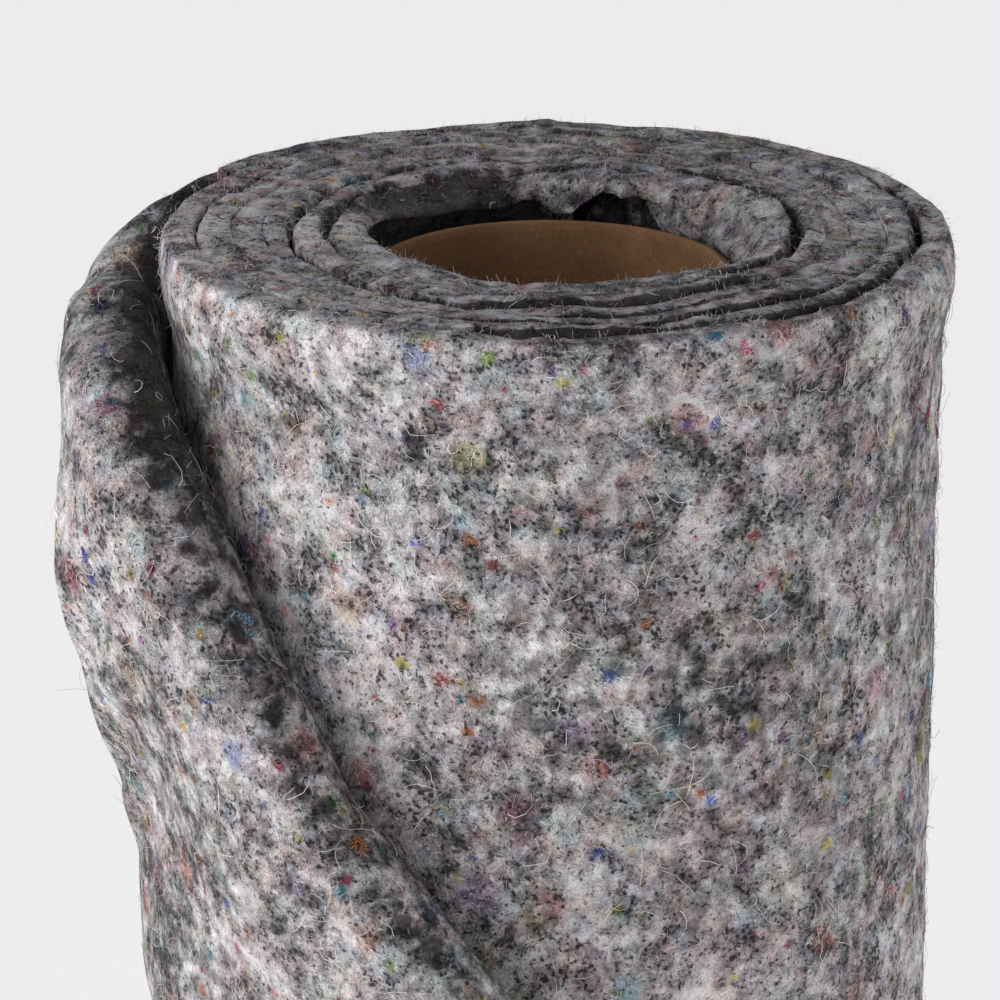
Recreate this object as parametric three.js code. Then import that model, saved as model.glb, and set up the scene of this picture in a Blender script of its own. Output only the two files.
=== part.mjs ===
// A roll of thick pond underlay felt standing on end, in millimetres, +Z up.
// The felt is wound clockwise inwards, seen from above, on a cardboard tube.
// The last part-turn is loose, and its top corner is folded outward and down.
// Azimuth 0 is +X, 90 is +Y. The loose end is at the -X side, and the front is -Y.
import * as THREE from 'three';

const rollHeight = 1000;
const feltThickness = 4.5;
const coreGap = 0.35;
const layGap = 0.5;

const tube = { innerRadius: 38, outerRadius: 42, topBelowRim: 8, edgeRound: 0.8, sides: 64 };

// The wound body. Its outline is a spiral that steps in by one turn at seamAzimuth.
const wound = {
  boreRadius: tube.outerRadius + coreGap,
  outerRadius: 90.2,
  turnPitch: 6.5,
  stepDegrees: 0.5,
  seamGapDegrees: 0.9,
  rimRound: 2.5,
  columns: 72,
};

// Distances below the rim at which the side has a row, and the bore's widening at its mouth.
const sideDrops = [rollHeight, 500, 120, 24, 15, 6, wound.rimRound];
const mouthRows = [
  { drop: 1.2, wider: 3.5 },
  { drop: 6.3, wider: 1.4 },
  { drop: 14, wider: 0 },
  { drop: 500, wider: 0 },
  { drop: rollHeight, wider: 0 },
];

// The felt bulges outward just under its upper edge.
const rimFlare = { size: 3, shareAtEdge: 0.55, widestDrop: 6, endDrop: 24 };

// Crevices between turns that stand open on the top, counted in turns from the outside.
// They lie outward of a whole turn by creviceShift turns, and their lips are a little rounded.
const creviceShift = 0.3;
const creviceLip = 0.4;
const crevices = [
  { turn: 1, depth: 5, halfWidth: 1.1 },
  { turn: 2, depth: 1.5, halfWidth: 1.2 },
  { turn: 3, depth: 2, halfWidth: 1.2 },
  { turn: 4, depth: 1.5, halfWidth: 1.2 },
  { turn: 5, depth: 4.5, halfWidth: 1.3 },
  { turn: 6, depth: 2, halfWidth: 1.2 },
];

// The fold of the loose end, as a line on the flat felt. It starts at the rim at startAzimuth
// and leans leanDegrees from the vertical. The panel ends at endAzimuth.
const fold = { startAzimuth: 158, leanDegrees: 46, endAzimuth: 295 };

// At distances along the fold line from the rim downward: how far the fold bows out to the
// upper right of that line, and the radius of its bend.
const foldTable = [
  { along: 0, bow: 0, radius: 7.5 },
  { along: 22, bow: 5, radius: 10.8 },
  { along: 52, bow: 14, radius: 12 },
  { along: 84, bow: 19, radius: 10.4 },
  { along: 104, bow: 18, radius: 7.4 },
  { along: 122, bow: 15.5, radius: 5 },
  { along: 142, bow: 12, radius: 3.5 },
  { along: 170, bow: 8, radius: 2.6 },
  { along: 230, bow: 3, radius: 2.6 },
];

// Rows of the sheet's mesh: across the turned-over corner, round the bend and below it.
const sheetGrid = {
  columns: 28, cornerRows: 9, bendRows: 9, belowRows: 7, solveSteps: 12,
  levelDrop: 330, lowDrops: [560, 790, rollHeight], normalStep: 0.05,
};

const radians = Math.PI / 180;
const lerp = (a, b, t) => a + (b - a) * t;
const smooth = (t) => {
  const c = Math.min(1, Math.max(0, t));
  return c * c * (3 - 2 * c);
};

function fromFoldTable(along, column) {
  const last = foldTable.length - 1;
  if (along <= foldTable[0].along) return foldTable[0][column];
  for (let i = 0; i < last; i += 1) {
    const a = foldTable[i];
    const b = foldTable[i + 1];
    if (along <= b.along) return lerp(a[column], b[column], smooth((along - a.along) / (b.along - a.along)));
  }
  return foldTable[last][column];
}
const bendRadius = (along) => fromFoldTable(along, 'radius');
const foldBow = (along) => fromFoldTable(along, 'bow');

const lean = { sin: Math.sin(fold.leanDegrees * radians), cos: Math.cos(fold.leanDegrees * radians) };
const innerWrapRadius = wound.outerRadius - wound.turnPitch;
// The panel begins where the bend begins at its upper edge, and the wound body steps in
// just before that, by the thickness of a turn.
const panelStart = -(Math.PI / 2) * bendRadius(0) / lean.cos;
const seamAzimuth = fold.startAzimuth + panelStart / innerWrapRadius / radians - wound.seamGapDegrees;
const panelEnd = (fold.endAzimuth - fold.startAzimuth) * radians * innerWrapRadius;

function flareAt(drop) {
  const { size, shareAtEdge, widestDrop, endDrop } = rimFlare;
  if (drop < widestDrop) return size * lerp(shareAtEdge, 1, smooth(drop / widestDrop));
  return size * (1 - smooth((drop - widestDrop) / (endDrop - widestDrop)));
}

// The sheet lies over that bulge as an even slope, which fades where the sheet has lifted off.
const coverFlare = { size: 3.6, endDrop: 60, liftToFade: 8 };
const coverAt = (drop) => coverFlare.size * Math.max(0, 1 - Math.max(0, drop) / coverFlare.endDrop);

// Radius of the wound body's side at an azimuth within one turn before the seam.
const sideRadius = (azimuth) => wound.outerRadius - wound.turnPitch * (seamAzimuth - azimuth) / 360;

function closedMesh(name, points, faces, material) {
  const geometry = new THREE.BufferGeometry();
  geometry.setAttribute('position', new THREE.Float32BufferAttribute(points.flat(), 3));
  geometry.setIndex(faces.flat());
  geometry.computeVertexNormals();
  const mesh = new THREE.Mesh(geometry, material);
  mesh.name = name;
  return mesh;
}

// Two triangles for each cell of a grid of vertex numbers that closes on itself both ways.
function torusFaces(columns, rows) {
  const faces = [];
  for (let c = 0; c < columns; c += 1) {
    const next = (c + 1) % columns;
    for (let r = 0; r < rows; r += 1) {
      const up = (r + 1) % rows;
      const [a, b, d, e] = [c * rows + r, next * rows + r, next * rows + up, c * rows + up];
      faces.push([a, b, d], [a, d, e]);
    }
  }
  return faces;
}

function polar(radius, azimuth, z) {
  return [radius * Math.cos(azimuth * radians), radius * Math.sin(azimuth * radians), z];
}

// Section of the wound body at one azimuth: up the side, over the top, down the bore.
function woundSection(azimuth) {
  const side = sideRadius(azimuth);
  const section = [];
  for (const drop of sideDrops) section.push([side + flareAt(drop), rollHeight - drop]);
  section.push([side + flareAt(0) - wound.rimRound, rollHeight]);
  for (const crevice of crevices) {
    const middle = side - (crevice.turn - creviceShift) * wound.turnPitch;
    section.push([middle + crevice.halfWidth, rollHeight - creviceLip]);
    section.push([middle, rollHeight - crevice.depth]);
    section.push([middle - crevice.halfWidth, rollHeight - creviceLip]);
  }
  for (const row of mouthRows) section.push([wound.boreRadius + row.wider, rollHeight - row.drop]);
  return section;
}

function feltRoll(material) {
  const points = [];
  const turn = 360 - wound.stepDegrees;
  let rows = 0;
  for (let c = 0; c < wound.columns; c += 1) {
    const azimuth = seamAzimuth - turn + turn * c / (wound.columns - 1);
    const section = woundSection(azimuth);
    rows = section.length;
    for (const [radius, z] of section) points.push(polar(radius, azimuth, z));
  }
  return closedMesh('felt_roll', points, torusFaces(wound.columns, rows), material);
}

function coreTube(material) {
  const { innerRadius, outerRadius, edgeRound } = tube;
  const top = rollHeight - tube.topBelowRim;
  const profile = [
    [innerRadius, 0], [outerRadius, 0],
    [outerRadius, top - edgeRound], [outerRadius - edgeRound, top],
    [innerRadius + edgeRound, top], [innerRadius, top - edgeRound],
  ];
  const points = [];
  for (let c = 0; c < tube.sides; c += 1) {
    for (const [radius, z] of profile) points.push(polar(radius, 360 * c / tube.sides, z));
  }
  return closedMesh('core_tube', points, torusFaces(tube.sides, profile.length), material);
}

// Middle surface of the loose end: from flat felt (across from the fold's start, drop below
// the upper edge) to a place in space, with the corner beyond the fold turned over outward.
function sheetPoint(across, drop) {
  const along = across * lean.sin + drop * lean.cos;
  const bow = foldBow(along);
  const past = across * lean.cos - drop * lean.sin - bow;
  const radius = bendRadius(along);
  const start = -(Math.PI / 2) * radius;
  const angle = Math.min(Math.PI, Math.max(0, (past - start) / radius));
  let beside = past;
  if (past > start) beside = start + radius * Math.sin(angle);
  if (past > -start) beside = -past;
  const lifted = radius * (1 - Math.cos(angle));
  beside += bow;
  const laidAcross = along * lean.sin + beside * lean.cos;
  const laidDrop = along * lean.cos - beside * lean.sin;
  const ridge = along * lean.sin + (start + radius + bow) * lean.cos;
  const turned = ridge / innerWrapRadius + (laidAcross - ridge) / (innerWrapRadius + lifted);
  const azimuth = fold.startAzimuth + turned / radians;
  const flare = coverAt(laidDrop) * (1 - smooth(lifted / coverFlare.liftToFade));
  const under = sideRadius(azimuth - 360) + flare + layGap;
  return new THREE.Vector3(...polar(under + feltThickness / 2 + lifted, azimuth, rollHeight - laidDrop));
}

function sheetNormal(across, drop) {
  const step = sheetGrid.normalStep;
  const side = sheetPoint(across + step, drop).sub(sheetPoint(across - step, drop));
  const down = sheetPoint(across, drop + step).sub(sheetPoint(across, drop - step));
  return down.cross(side).normalize();
}

// A row at a fixed share of the bend, as a curve on the flat felt between its two edges.
function bendRow(share) {
  let first = 0;
  let last = panelEnd;
  for (let i = 0; i < sheetGrid.solveSteps; i += 1) {
    first = (share * bendRadius(first) + foldBow(first)) * lean.sin / lean.cos;
    last = (panelEnd - (share * bendRadius(last) + foldBow(last)) * lean.cos) / lean.sin;
  }
  const row = [];
  for (let j = 0; j <= sheetGrid.columns; j += 1) {
    const along = lerp(first, last, j / sheetGrid.columns);
    const past = share * bendRadius(along) + foldBow(along);
    row.push([along * lean.sin + past * lean.cos, Math.max(0, along * lean.cos - past * lean.sin)]);
  }
  return row;
}

function mixRows(from, to, t) {
  return from.map((p, j) => [lerp(p[0], to[j][0], t), lerp(p[1], to[j][1], t)]);
}

// All rows of the flat panel, from the corner that is turned over down to the floor.
function panelRows() {
  const rows = [];
  const { columns, cornerRows, bendRows, belowRows, levelDrop, lowDrops } = sheetGrid;
  const overRow = bendRow(Math.PI / 2);
  const cornerRow = overRow.map(() => [panelEnd, 0]);
  for (let i = 1; i < cornerRows; i += 1) rows.push(mixRows(cornerRow, overRow, i / cornerRows));
  for (let i = 0; i <= bendRows; i += 1) rows.push(bendRow(Math.PI * (0.5 - i / bendRows)));
  const level = (drop) => overRow.map((p, j) => [lerp(panelStart, panelEnd, j / columns), drop]);
  const underRow = rows[rows.length - 1];
  for (let i = 1; i <= belowRows; i += 1) rows.push(mixRows(underRow, level(levelDrop), i / belowRows));
  for (const drop of lowDrops) rows.push(level(drop));
  return rows;
}

function looseEnd(material) {
  const rows = panelRows();
  const wide = sheetGrid.columns + 1;
  const points = [];
  for (const side of [1, -1]) {
    for (const row of rows) {
      for (const [across, drop] of row) {
        const place = sheetPoint(across, drop);
        place.addScaledVector(sheetNormal(across, drop), side * feltThickness / 2);
        if (drop >= rollHeight) place.z = 0;
        points.push(place.toArray());
      }
    }
  }
  const count = rows.length * wide;
  const faces = [];
  const quad = (a, b, c, d) => faces.push([a, b, c], [a, c, d]);
  for (let r = 0; r < rows.length - 1; r += 1) {
    for (let j = 0; j < sheetGrid.columns; j += 1) {
      const a = r * wide + j;
      quad(a, a + wide, a + wide + 1, a + 1);
      quad(count + a, count + a + 1, count + a + wide + 1, count + a + wide);
    }
    const left = r * wide;
    const right = left + sheetGrid.columns;
    quad(left, count + left, count + left + wide, left + wide);
    quad(right, right + wide, count + right + wide, count + right);
  }
  for (let j = 0; j < sheetGrid.columns; j += 1) {
    const bottom = (rows.length - 1) * wide + j;
    quad(bottom, count + bottom, count + bottom + 1, bottom + 1);
    quad(j, j + 1, count + j + 1, count + j);
  }
  return closedMesh('loose_end', points, faces, material);
}

const felt = new THREE.MeshStandardMaterial({ color: 0x8f8c8c, roughness: 1, metalness: 0 });
const turnedFelt = new THREE.MeshStandardMaterial({ color: 0x979494, roughness: 1, metalness: 0 });
const cardboard = new THREE.MeshStandardMaterial({ color: 0x8a6547, roughness: 0.85, metalness: 0 });

const group = new THREE.Group();
group.add(coreTube(cardboard), feltRoll(felt), looseEnd(turnedFelt));

// The origin is on the floor under the middle of the whole roll, loose end included.
const middle = new THREE.Box3().setFromObject(group).getCenter(new THREE.Vector3());
group.position.set(-middle.x, -middle.y, 0);
group.updateMatrixWorld(true);

export default group;
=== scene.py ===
import math

import bpy
import numpy as np
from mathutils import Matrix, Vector


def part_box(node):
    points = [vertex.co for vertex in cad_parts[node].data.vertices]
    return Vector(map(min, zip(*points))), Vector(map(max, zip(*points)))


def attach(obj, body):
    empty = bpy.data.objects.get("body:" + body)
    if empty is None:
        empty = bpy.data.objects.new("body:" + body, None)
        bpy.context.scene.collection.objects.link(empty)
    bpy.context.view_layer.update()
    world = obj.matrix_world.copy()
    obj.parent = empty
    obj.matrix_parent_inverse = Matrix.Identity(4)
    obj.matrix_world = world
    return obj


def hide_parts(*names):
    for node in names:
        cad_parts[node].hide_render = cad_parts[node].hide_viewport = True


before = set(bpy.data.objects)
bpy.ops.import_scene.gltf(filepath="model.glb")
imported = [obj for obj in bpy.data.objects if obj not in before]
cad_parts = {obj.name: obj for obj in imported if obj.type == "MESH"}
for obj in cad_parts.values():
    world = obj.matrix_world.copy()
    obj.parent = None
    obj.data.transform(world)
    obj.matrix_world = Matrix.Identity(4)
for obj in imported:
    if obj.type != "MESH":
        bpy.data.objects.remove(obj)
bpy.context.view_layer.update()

mm = 0.001

# Felt wound on a cardboard tube that stands on end. Everything below is in millimetres
# round the tube's axis, with azimuth 0 at +X and drop counted down from the rim.
tubeLow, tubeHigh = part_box("core_tube")
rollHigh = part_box("felt_roll")[1]
axisX = (tubeLow[0] + tubeHigh[0]) / 2
axisY = (tubeLow[1] + tubeHigh[1]) / 2
rimHeight = rollHigh[2] / mm
wornOff = 1.3
coreTop = rimHeight - tubeHigh[2] / mm + wornOff

rng = np.random.default_rng(41)


def linear(hexColour):
    parts = [int(hexColour[i:i + 2], 16) / 255 for i in (1, 3, 5)]
    return tuple(c / 12.92 if c <= 0.04045 else ((c + 0.055) / 1.055) ** 2.4 for c in parts) + (1.0,)


def smooth(t):
    t = np.clip(t, 0, 1)
    return t * t * (3 - 2 * t)


def latticeValue(cells, seed):
    # a repeatable random value from -1 to 1 for each whole-number cell
    x, y, z = (cells[..., i].astype(np.int64) for i in range(3))
    n = (x * 374761393 + y * 668265263 + z * 1440662683 + seed * 974711) & 0x7FFFFFFF
    n = ((n ^ (n >> 13)) * 1274126177) & 0x7FFFFFFF
    return ((n ^ (n >> 16)) & 0xFFFFF) / 0xFFFFF * 2 - 1


def lumps(points, size, seed):
    # soft random lumps of about that size, from -1 to 1
    place = points / size
    cell = np.floor(place)
    part = smooth(place - cell)
    total = np.zeros(points.shape[:-1])
    for corner in np.ndindex(2, 2, 2):
        share = np.prod(np.where(np.array(corner) == 1, part, 1 - part), axis=-1)
        total += share * latticeValue(cell + np.array(corner), seed)
    return total


def polar(radius, azimuth, height):
    a = np.radians(azimuth)
    return np.stack([radius * np.cos(a), radius * np.sin(a), height + 0 * a], axis=-1)


def vertexNormals(points, faces):
    a, b, c, d = (points[faces[:, i]] for i in range(4))
    normal = np.cross(c - a, d - b)
    total = np.zeros_like(points)
    for i in range(4):
        np.add.at(total, faces[:, i], normal)
    return total / np.maximum(np.linalg.norm(total, axis=1, keepdims=True), 1e-9)


def gridFaces(columns, rows, closed):
    # quads of a grid with its rows closed on themselves or not
    c, r = np.meshgrid(np.arange(columns - 1), np.arange(rows if closed else rows - 1), indexing="ij")
    up = (r + 1) % rows
    quads = np.stack([c * rows + r, (c + 1) * rows + r, (c + 1) * rows + up, c * rows + up], axis=-1)
    return quads.reshape(-1, 4)


def putMesh(name, points, faces, material, caps=()):
    mesh = bpy.data.meshes.new(name)
    placed = points * mm + np.array([axisX, axisY, 0])
    mesh.from_pydata(placed.tolist(), [], faces.tolist() + [list(cap) for cap in caps])
    mesh.polygons.foreach_set("use_smooth", np.ones(len(mesh.polygons), dtype=bool))
    mesh.materials.append(material)
    mesh.update()
    piece = bpy.data.objects.new(name, mesh)
    bpy.context.scene.collection.objects.link(piece)
    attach(piece, "root")
    return piece


def setPaintedShadeAndPatches(piece, values):
    # how much darker the felt is painted at each point: painted shade plus broad patches of its own tone
    piece.data.attributes.new("paintedShadeAndPatches", "FLOAT", "POINT").data.foreach_set("value", values)


def addNode(tree, kind, values=None):
    # each value is another node's output, a fixed value for an input, or a node's setting
    node = tree.nodes.new(kind)
    for key, value in (values or {}).items():
        if isinstance(value, bpy.types.NodeSocket):
            tree.links.new(value, node.inputs[key])
        elif isinstance(key, int) or key in node.inputs:
            node.inputs[key].default_value = value
        else:
            setattr(node, key, value)
    return node


def setStops(ramp, stops):
    # a ramp's stops as (place, hex colour)
    elements = ramp.color_ramp.elements
    while len(elements) > 1:
        elements.remove(elements[-1])
    elements[0].position = stops[0][0]
    elements[0].color = linear(stops[0][1])
    for place, colour in stops[1:]:
        elements.new(place).color = linear(colour)


def perMetre(size):
    return 1 / (size * mm)


def addNoise(tree, place, size, detail, values=None):
    values = {"Vector": place, "Scale": perMetre(size), "Detail": detail, **(values or {})}
    return addNode(tree, "ShaderNodeTexNoise", values)


def addMath(tree, operation, *values):
    return addNode(tree, "ShaderNodeMath", {"operation": operation, **dict(enumerate(values))}).outputs[0]


def addRange(tree, source, low, high, least=0.0, most=1.0):
    # source from low to high becomes least to most, and stays within them
    values = {"Value": source, "From Min": low, "From Max": high, "To Min": least, "To Max": most}
    return addNode(tree, "ShaderNodeMapRange", values).outputs[0]


def mixColours(tree, blend, share, under, over):
    values = {"data_type": "RGBA", "blend_type": blend, 0: share, 6: under, 7: over}
    return addNode(tree, "ShaderNodeMix", values).outputs[2]


def pickShade(tree, chance, shades):
    # one shade of the list, unmixed, for each random value
    ramp = addNode(tree, "ShaderNodeValToRGB", {"Fac": chance})
    ramp.color_ramp.interpolation = "CONSTANT"
    setStops(ramp, [(i / len(shades), shade) for i, shade in enumerate(shades)])
    return ramp.outputs[0]


def emptyMaterial(name):
    material = bpy.data.materials.new(name)
    material.use_nodes = True
    material.node_tree.nodes.clear()
    return material, material.node_tree


def setSurface(tree, values):
    surface = addNode(tree, "ShaderNodeBsdfPrincipled", values)
    addNode(tree, "ShaderNodeOutputMaterial", {"Surface": surface.outputs[0]})


# Needle felt from shredded clothes: no weave, so the eye sees a grey mottling of
# lint, dark specks, pale wisps and small flecks of every colour, all quite matt.
feltLook = {
    "broadSize": 30.0,
    "patchSize": 10.0,
    "mottleSize": 3.2,
    "fuzzSize": 0.6,
    "speckSize": 1.05,
    "pushSize": 2.4,
    "pushReach": 2.6,
    "stops": [(0.46, "#424143"), (0.55, "#767375"), (0.63, "#a19d9f"), (0.71, "#c7c4c5"), (0.80, "#f1efef")],
    "hueSize": 12.0,
    "hueShare": 0.32,
    "hues": [(0.36, "#aec6b4"), (0.44, "#b8c0b9"), (0.50, "#bcbcbc"), (0.56, "#c1b8bc"), (0.64, "#ccacb4")],
    "tintSize": 6.0,
    "tintShare": 0.52,
    "tints": [(0.33, "#b3bfd0"), (0.40, "#b8bac2"), (0.46, "#bfb8bf"), (0.51, "#c2bbb9"), (0.56, "#babbb6"),
              (0.61, "#c8b5b4"), (0.67, "#c3aea3")],
    "speckShade": "#161517",
    "wispShade": "#e4e1dc",
    "pitSize": 4.5,
    "shadeAndPatchColour": "#64605f",
    "stainColours": ["#e8756a", "#eda583", "#8aa6e6", "#d5dc86", "#e88cae", "#bfa8e0", "#8fc8dc", "#e6c9a0",
                     "#c9655a", "#e09a92"],
    "fleckColours": ["#e8453f", "#f0b24a", "#3f63d8", "#f2e6a0", "#d84a50", "#3fb8de", "#ece04a", "#c8784a",
                     "#ea5a9c", "#20264f", "#ee8a3c", "#8fb83a", "#a05ab0", "#6fce7a"],
    "tuftColours": ["#efedea", "#e4e8ee", "#efe6d2", "#eadfe2"],
}

# Coloured lint in the felt: pale tufts, broad faint stains, then small vivid flecks.
# Empty is the share of cells without one, and soft is how slowly its edge fades.
blots = [
    {"shades": "tuftColours", "spacing": 12.0, "empty": 0.25, "size": 0.62, "strength": 0.60,
     "shift": 1.23, "blend": "MIX", "soft": 0.5},
    {"shades": "stainColours", "spacing": 10.0, "empty": 0.18, "size": 0.60, "strength": 0.78,
     "shift": 0.37, "blend": "MULTIPLY", "soft": 0.3},
    {"shades": "fleckColours", "spacing": 4.2, "empty": 0.38, "size": 0.48, "strength": 0.90,
     "shift": 2.11, "blend": "MULTIPLY", "soft": 0.2},
]


def makeFelt():
    material, tree = emptyMaterial("needleFelt")
    look = feltLook
    place = addNode(tree, "ShaderNodeTexCoord").outputs["Object"]

    # fine patterns are drawn on swirled coordinates, so they break up like fibres
    push = addNoise(tree, place, look["pushSize"], 1.0).outputs["Color"]
    push = addNode(tree, "ShaderNodeVectorMath", {"operation": "SUBTRACT", 0: push, 1: (0.5, 0.5, 0.5)})
    push = addNode(tree, "ShaderNodeVectorMath",
                   {"operation": "SCALE", 0: push.outputs[0], "Scale": look["pushReach"] * mm})
    loose = addNode(tree, "ShaderNodeVectorMath", {"operation": "ADD", 0: place, 1: push.outputs[0]})
    loose = loose.outputs[0]

    # lint: broad areas, patches, mottling and fuzz summed to one value
    broad = addNoise(tree, place, look["broadSize"], 0.0).outputs[0]
    patch = addNoise(tree, place, look["patchSize"], 1.0).outputs[0]
    mottle = addNoise(tree, loose, look["mottleSize"], 2.0).outputs[0]
    fuzz = addNoise(tree, loose, look["fuzzSize"], 2.0, {"Roughness": 0.6}).outputs[0]
    lint = addMath(tree, "MULTIPLY", broad, 0.16)
    for share, layer in ((0.34, patch), (0.44, mottle), (0.32, fuzz)):
        lint = addMath(tree, "MULTIPLY_ADD", layer, share, lint)
    ramp = addNode(tree, "ShaderNodeValToRGB", {"Fac": lint})
    setStops(ramp, look["stops"])
    colour = ramp.outputs[0]

    # faint washes of the mixed lint, of every hue
    for wash in ("tint", "hue"):
        drift = addNoise(tree, loose, look[wash + "Size"], 3.0).outputs[0]
        ramp = addNode(tree, "ShaderNodeValToRGB", {"Fac": drift})
        setStops(ramp, look[wash + "s"])
        colour = mixColours(tree, "OVERLAY", look[wash + "Share"], colour, ramp.outputs[0])

    for blot in blots:
        shifted = addNode(tree, "ShaderNodeVectorMath",
                          {"operation": "ADD", 0: loose, 1: (blot["shift"],) * 3})
        cells = addNode(tree, "ShaderNodeTexVoronoi",
                        {"Vector": shifted.outputs[0], "Scale": perMetre(blot["spacing"])})
        chance = addNode(tree, "ShaderNodeSeparateColor", {0: cells.outputs["Color"]})
        reach = addRange(tree, chance.outputs[1], blot["empty"], 1.0, -0.3, blot["size"])
        # the fuzz eats into the edge of each
        reach = addMath(tree, "MULTIPLY_ADD", fuzz, 0.7, reach)
        inside = addMath(tree, "SUBTRACT", reach, cells.outputs["Distance"])
        inside = addRange(tree, inside, 0.33, 0.33 + blot["soft"], 0.0, blot["strength"])
        shade = pickShade(tree, chance.outputs[0], look[blot["shades"]])
        colour = mixColours(tree, blot["blend"], inside, colour, shade)

    # dark specks between the fibres, thickest where the lint is dark
    speck = addNoise(tree, place, look["speckSize"], 1.0, {"Roughness": 0.4, "Distortion": 0.35}).outputs[0]
    limit = addMath(tree, "MULTIPLY_ADD", mottle, -0.36, 0.752)
    limit = addMath(tree, "MULTIPLY_ADD", patch, -0.36, limit)
    speck = addRange(tree, addMath(tree, "SUBTRACT", limit, speck), -0.02, 0.11, 0.0, 0.92)
    colour = mixColours(tree, "MIX", speck, colour, linear(look["speckShade"]))

    # pale wisps, long and short: the level lines of a noise, with gaps where the lint is dark
    wisps = ((3.4, 0.022, 0.80, mottle, 0.48), (1.5, 0.048, 0.6, patch, 0.45))
    for size, thin, strength, source, low in wisps:
        line = addNoise(tree, place, size, 1.0, {"Distortion": 1.2}).outputs[0]
        line = addMath(tree, "ABSOLUTE", addMath(tree, "SUBTRACT", line, 0.5))
        line = addRange(tree, line, thin, 0.0, 0.0, strength)
        line = addMath(tree, "MULTIPLY", line, addRange(tree, source, low, low + 0.07))
        colour = mixColours(tree, "MIX", line, colour, linear(look["wispShade"]))

    # darker by painted shade and broad patches, broken up by pits: on the cut edge (partly its own darker
    # tone), where hidden from the light, and in the darker patches
    paintedShadeAndPatches = addNode(tree, "ShaderNodeAttribute", {"attribute_name": "paintedShadeAndPatches"}).outputs["Fac"]
    shadedPits = addNoise(tree, place, look["pitSize"], 3.0).outputs[0]
    shadedPits = addMath(tree, "MULTIPLY", paintedShadeAndPatches, addRange(tree, shadedPits, 0.38, 0.60, 1.9, 0.2))
    deep = addRange(tree, paintedShadeAndPatches, 0.6, 0.9)
    shadedPits = addNode(tree, "ShaderNodeMath", {"operation": "MAXIMUM", "use_clamp": True, 0: shadedPits, 1: deep})
    shadedPits = shadedPits.outputs[0]
    colour = mixColours(tree, "MULTIPLY", shadedPits, colour, linear(look["shadeAndPatchColour"]))

    height = addMath(tree, "MULTIPLY_ADD", speck, -0.25, lint)
    height = addMath(tree, "MULTIPLY_ADD", shadedPits, -0.5, height)
    bump = addNode(tree, "ShaderNodeBump", {"Strength": 1.0, "Distance": 2.2 * mm, "Height": height})
    setSurface(tree, {"Base Color": colour, "Normal": bump.outputs[0], "Roughness": 0.96,
                      "Specular IOR Level": 0.12, "Sheen Weight": 0.13, "Sheen Roughness": 0.6})
    return material


# Single hairs of polyester, cotton and wool standing out of the felt: slightly glossy,
# each one shade, in pale, dark and dyed lots.
hairLook = {
    "pale": ["#e6e2dc", "#cfcbc8", "#faf7f0", "#bdb9b7", "#efe3c8", "#dcd9dc"],
    "dark": ["#2a292c", "#3b3a3e", "#54504f", "#232632"],
    "dyed": ["#a8403c", "#3f5fa6", "#2f8fa5", "#b9b052", "#b04a6e", "#c0713a", "#2a2f55", "#dcd3ae",
             "#6f5590", "#8fb4cf", "#9db58a"],
    "lotSize": 9.0,
}


def makeHair(name, shades):
    material, tree = emptyMaterial(name)
    place = addNode(tree, "ShaderNodeTexCoord").outputs["Object"]
    lots = addNode(tree, "ShaderNodeTexVoronoi", {"Vector": place, "Scale": perMetre(hairLook["lotSize"])})
    chance = addNode(tree, "ShaderNodeSeparateColor", {0: lots.outputs["Color"]})
    colour = pickShade(tree, chance.outputs[0], shades)
    setSurface(tree, {"Base Color": colour, "Roughness": 0.6, "Specular IOR Level": 0.3})
    return material


# Grey-brown board of pressed waste paper: matt, with mottled pulp and a fine grain.
boardLook = {"light": "#987250", "dark": "#7d5c3c", "pulpSize": 14, "grainSize": 1.1}


def makeBoard():
    material, tree = emptyMaterial("coreBoard")
    place = addNode(tree, "ShaderNodeTexCoord").outputs["Object"]
    pulp = addNoise(tree, place, boardLook["pulpSize"], 6.0, {"Roughness": 0.62})
    ramp = addNode(tree, "ShaderNodeValToRGB", {"Fac": pulp.outputs[0]})
    setStops(ramp, [(0.3, boardLook["dark"]), (0.7, boardLook["light"])])
    grain = addNoise(tree, place, boardLook["grainSize"], 4.0)
    colour = mixColours(tree, "SOFT_LIGHT", 0.5, ramp.outputs[0], grain.outputs["Color"])
    bump = addNode(tree, "ShaderNodeBump",
                   {"Strength": 0.5, "Distance": 0.6 * mm, "Height": grain.outputs[0]})
    setSurface(tree, {"Base Color": colour, "Normal": bump.outputs[0], "Roughness": 0.85,
                      "Specular IOR Level": 0.3})
    return material


# The wound felt. A place along it is given by wound, the degrees of winding inward from
# the seam. cutShade is how dark its cut edge is painted, by azimuth: partly the cut edge's
# own darker tone, and painted shade where less light falls on the top.
woundFelt = {
    "outerRadius": 90.2,
    "pitch": 6.5,
    "tightening": 0.03,
    "seamAzimuth": 146.2,
    "outerTurnStart": -0.4,
    "outerTurnEnd": 372.0,
    "innerEnd": 2232.0,
    "boreRadius": 42.7,
    "edgeRound": 1.5,
    "edgeSquareness": 0.6,
    "footRound": 0.8,
    "flare": 3.0,
    "flareShareAtRim": 0.55,
    "flareWidest": 6.0,
    "flareEnd": 24.0,
    "flareRadii": (70, 86),
    "backRise": 1.0,
    "riseDepth": 60,
    "outsideEnd": 340,
    "cutShade": [(0, 0.06), (45, 0.30), (90, 0.40), (130, 0.27), (160, 0.06), (180, 0.0), (225, 0.05),
                 (255, 0.28), (270, 0.38), (315, 0.40), (340, 0.18), (360, 0.06)],
    "endSlant": 11.0,
    "endSetBack": 3,
    "endFade": 40,
    "gapDepth": 17.0,
    "closedGap": 0.15,
    "wobble": 1.1,
    "wobbleLength": 21,
    "wobbleStart": 350,
    "wobbleFade": 40,
    "wobbleDepth": 40,
}

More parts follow.
